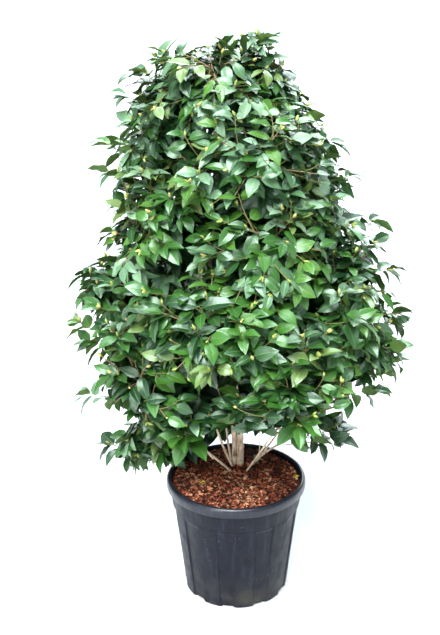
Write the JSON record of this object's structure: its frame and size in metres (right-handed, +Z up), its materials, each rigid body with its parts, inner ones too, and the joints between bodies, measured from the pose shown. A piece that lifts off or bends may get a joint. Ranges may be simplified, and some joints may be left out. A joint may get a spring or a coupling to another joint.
{
  "type": "potted shrub",
  "caption": "Evergreen shrub grown as a leafy cone on several stems, with glossy leaves and plump buds, in a round plastic nursery container of fluted wall.",
  "frame": {"origin": "middle of the container's flat underside", "axes": "+Z up along the plant, front towards -Y, +X to the right seen from the front"},
  "size_m": [1.1506, 1.0631, 1.8909],
  "materials": {
    "container": "satin charcoal plastic, scuffed and dusty near the base",
    "medium": "loose bark and coir chips",
    "bark": "smooth grey-tan bark",
    "foliage": "glossy leaves, paler beneath"
  },
  "bodies": {
    "root": {"container": "container", "growing_medium": "medium", "high_bough_2": "bark", "high_bough_3": "bark", "high_foliage_1": "foliage", "high_foliage_2": "foliage", "high_foliage_3": "foliage", "lower_bough_1": "bark", "lower_bough_2": "bark", "lower_bough_3": "bark", "lower_bough_4": "bark", "lower_bough_5": "bark", "lower_foliage_1": "foliage", "lower_foliage_2": "foliage", "lower_foliage_3": "foliage", "lower_foliage_4": "foliage", "lower_foliage_5": "foliage", "middle_bough_1": "bark", "middle_bough_2": "bark", "middle_bough_3": "bark", "middle_bough_4": "bark", "middle_foliage_1": "foliage", "middle_foliage_2": "foliage", "middle_foliage_3": "foliage", "middle_foliage_4": "foliage", "second_stem": "bark", "skirt_bough_1": "bark", "skirt_bough_2": "bark", "skirt_bough_3": "bark", "skirt_bough_4": "bark", "skirt_bough_5": "bark", "skirt_foliage_1": "foliage", "skirt_foliage_2": "foliage", "skirt_foliage_3": "foliage", "skirt_foliage_4": "foliage", "skirt_foliage_5": "foliage", "top_bough_2": "bark", "top_bough_3": "bark", "top_foliage_1": "foliage", "top_foliage_2": "foliage", "top_foliage_3": "foliage", "trunk": "bark", "upper_bough_1": "bark", "upper_bough_2": "bark", "upper_bough_3": "bark", "upper_bough_4": "bark", "upper_foliage_1": "foliage", "upper_foliage_2": "foliage", "upper_foliage_3": "foliage", "upper_foliage_4": "foliage"}
  },
  "joints": []
}
